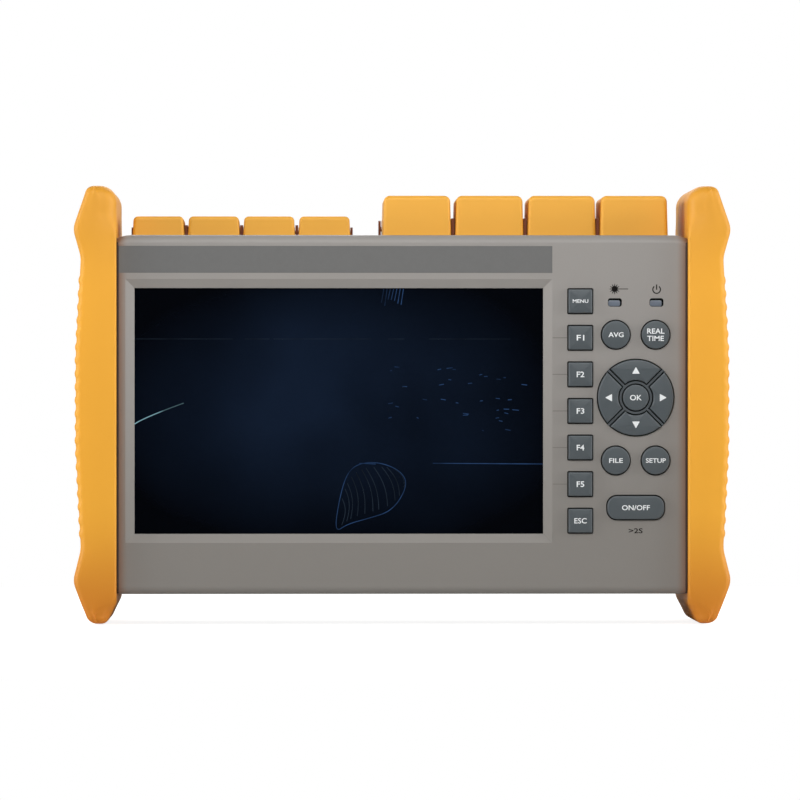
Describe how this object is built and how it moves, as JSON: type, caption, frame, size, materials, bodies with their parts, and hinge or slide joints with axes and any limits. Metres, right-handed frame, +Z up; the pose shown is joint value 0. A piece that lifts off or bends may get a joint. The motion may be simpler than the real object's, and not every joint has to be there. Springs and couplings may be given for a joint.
{
  "type": "optical time domain reflectometer",
  "caption": "Portable fibre test set with a wide display, a keypad, hinged port covers on top, rubber end bumpers and a fold-out rear stand.",
  "frame": {"origin": "on the surface the bumpers stand on, under the middle of the case", "axes": "+X to the right seen from the front, +Y from the display to the back, +Z up"},
  "size_m": [0.253, 0.074, 0.1674],
  "materials": {
    "case_abs": "fine moulded texture",
    "bumper_rubber": "matt",
    "cover_plastic": "matt",
    "key_plastic": "satin",
    "title_plastic": "matt",
    "indicator_acrylic": "polished",
    "window_acrylic": "polished",
    "panel_glass": "polished",
    "circuit_board": "solder resist",
    "black_nylon": "moulded",
    "soft_rubber": "matt",
    "steel": "plated",
    "nickel_brass": "nickel plated",
    "cast_aluminium": "cast",
    "battery_wrap": "shrink wrap"
  },
  "bodies": {
    "root": {"battery_cover": "case_abs", "battery_cover_screws": "steel", "battery_pack": "battery_wrap", "board_screws": "steel", "board_standoffs": "steel", "case_gasket": "soft_rubber", "case_screws": "steel", "cover_hinge_pins": "steel", "display_bracket": "steel", "display_window": "window_acrylic", "dpad_frame": "key_plastic", "ethernet_socket": "black_nylon", "front_shell": "case_abs", "indicator_lenses": "indicator_acrylic", "key_switches": "black_nylon", "keypad_board": "circuit_board", "lcd_panel": "panel_glass", "left_bumper": "bumper_rubber", "main_board": "circuit_board", "optical_adapter_1": "nickel_brass", "optical_adapter_2": "nickel_brass", "optical_adapter_3": "nickel_brass", "optical_adapter_4": "nickel_brass", "optical_hinge_rail": "cover_plastic", "optical_module": "cast_aluminium", "port_hinge_rail": "cover_plastic", "power_jack": "black_nylon", "rear_shell": "case_abs", "right_bumper": "bumper_rubber", "stand_pins": "steel", "title_strip": "title_plastic", "usb_device_socket": "steel", "usb_host_socket": "steel"},
    "menu_key": {"menu_key": "key_plastic"},
    "f1_key": {"f1_key": "key_plastic"},
    "f2_key": {"f2_key": "key_plastic"},
    "f3_key": {"f3_key": "key_plastic"},
    "f4_key": {"f4_key": "key_plastic"},
    "f5_key": {"f5_key": "key_plastic"},
    "esc_key": {"esc_key": "key_plastic"},
    "avg_key": {"avg_key": "key_plastic"},
    "real_time_key": {"real_time_key": "key_plastic"},
    "file_key": {"file_key": "key_plastic"},
    "setup_key": {"setup_key": "key_plastic"},
    "up_key": {"up_key": "key_plastic"},
    "left_key": {"left_key": "key_plastic"},
    "down_key": {"down_key": "key_plastic"},
    "right_key": {"right_key": "key_plastic"},
    "ok_key": {"ok_key": "key_plastic"},
    "power_key": {"power_key": "key_plastic"},
    "optical_cover_1": {"optical_cover_1": "cover_plastic"},
    "optical_cover_2": {"optical_cover_2": "cover_plastic"},
    "optical_cover_3": {"optical_cover_3": "cover_plastic"},
    "optical_cover_4": {"optical_cover_4": "cover_plastic"},
    "port_cover_1": {"port_cover_1": "cover_plastic"},
    "port_cover_2": {"port_cover_2": "cover_plastic"},
    "port_cover_3": {"port_cover_3": "cover_plastic"},
    "port_cover_4": {"port_cover_4": "cover_plastic"},
    "stand": {"stand": "black_nylon", "stand_pads": "soft_rubber"}
  },
  "joints": [
    {"name": "menu_key_press", "type": "slide", "parent": "root", "child": "menu_key", "axis": [0, 1, 0], "range_m": [0, 0.0008], "stiffness_N_per_m": 400},
    {"name": "f1_key_press", "type": "slide", "parent": "root", "child": "f1_key", "axis": [0, 1, 0], "range_m": [0, 0.0008], "stiffness_N_per_m": 400},
    {"name": "f2_key_press", "type": "slide", "parent": "root", "child": "f2_key", "axis": [0, 1, 0], "range_m": [0, 0.0008], "stiffness_N_per_m": 400},
    {"name": "f3_key_press", "type": "slide", "parent": "root", "child": "f3_key", "axis": [0, 1, 0], "range_m": [0, 0.0008], "stiffness_N_per_m": 400},
    {"name": "f4_key_press", "type": "slide", "parent": "root", "child": "f4_key", "axis": [0, 1, 0], "range_m": [0, 0.0008], "stiffness_N_per_m": 400},
    {"name": "f5_key_press", "type": "slide", "parent": "root", "child": "f5_key", "axis": [0, 1, 0], "range_m": [0, 0.0008], "stiffness_N_per_m": 400},
    {"name": "esc_key_press", "type": "slide", "parent": "root", "child": "esc_key", "axis": [0, 1, 0], "range_m": [0, 0.0008], "stiffness_N_per_m": 400},
    {"name": "avg_key_press", "type": "slide", "parent": "root", "child": "avg_key", "axis": [0, 1, 0], "range_m": [0, 0.0008], "stiffness_N_per_m": 400},
    {"name": "real_time_key_press", "type": "slide", "parent": "root", "child": "real_time_key", "axis": [0, 1, 0], "range_m": [0, 0.0008], "stiffness_N_per_m": 400},
    {"name": "file_key_press", "type": "slide", "parent": "root", "child": "file_key", "axis": [0, 1, 0], "range_m": [0, 0.0008], "stiffness_N_per_m": 400},
    {"name": "setup_key_press", "type": "slide", "parent": "root", "child": "setup_key", "axis": [0, 1, 0], "range_m": [0, 0.0008], "stiffness_N_per_m": 400},
    {"name": "up_key_press", "type": "slide", "parent": "root", "child": "up_key", "axis": [0, 1, 0], "range_m": [0, 0.0008], "stiffness_N_per_m": 400},
    {"name": "left_key_press", "type": "slide", "parent": "root", "child": "left_key", "axis": [0, 1, 0], "range_m": [0, 0.0008], "stiffness_N_per_m": 400},
    {"name": "down_key_press", "type": "slide", "parent": "root", "child": "down_key", "axis": [0, 1, 0], "range_m": [0, 0.0008], "stiffness_N_per_m": 400},
    {"name": "right_key_press", "type": "slide", "parent": "root", "child": "right_key", "axis": [0, 1, 0], "range_m": [0, 0.0008], "stiffness_N_per_m": 400},
    {"name": "ok_key_press", "type": "slide", "parent": "root", "child": "ok_key", "axis": [0, 1, 0], "range_m": [0, 0.0008], "stiffness_N_per_m": 400},
    {"name": "power_key_press", "type": "slide", "parent": "root", "child": "power_key", "axis": [0, 1, 0], "range_m": [0, 0.0008], "stiffness_N_per_m": 400},
    {"name": "optical_cover_1_hinge", "type": "hinge", "parent": "root", "child": "optical_cover_1", "pos_m": [0, 0.0145, 0.1517], "axis": [-1, 0, 0], "range_deg": [0, 100]},
    {"name": "optical_cover_2_hinge", "type": "hinge", "parent": "root", "child": "optical_cover_2", "pos_m": [0, 0.0145, 0.1517], "axis": [-1, 0, 0], "range_deg": [0, 100]},
    {"name": "optical_cover_3_hinge", "type": "hinge", "parent": "root", "child": "optical_cover_3", "pos_m": [0, 0.0145, 0.1517], "axis": [-1, 0, 0], "range_deg": [0, 100]},
    {"name": "optical_cover_4_hinge", "type": "hinge", "parent": "root", "child": "optical_cover_4", "pos_m": [0, 0.0145, 0.1517], "axis": [-1, 0, 0], "range_deg": [0, 100]},
    {"name": "port_cover_1_hinge", "type": "hinge", "parent": "root", "child": "port_cover_1", "pos_m": [0, 0.0145, 0.1504], "axis": [-1, 0, 0], "range_deg": [0, 100]},
    {"name": "port_cover_2_hinge", "type": "hinge", "parent": "root", "child": "port_cover_2", "pos_m": [0, 0.0145, 0.1504], "axis": [-1, 0, 0], "range_deg": [0, 100]},
    {"name": "port_cover_3_hinge", "type": "hinge", "parent": "root", "child": "port_cover_3", "pos_m": [0, 0.0145, 0.1504], "axis": [-1, 0, 0], "range_deg": [0, 100]},
    {"name": "port_cover_4_hinge", "type": "hinge", "parent": "root", "child": "port_cover_4", "pos_m": [0, 0.0145, 0.1504], "axis": [-1, 0, 0], "range_deg": [0, 100]},
    {"name": "stand_hinge", "type": "hinge", "parent": "root", "child": "stand", "pos_m": [0, 0.0303, 0.1028], "axis": [1, 0, 0], "range_deg": [0, 50]}
  ]
}
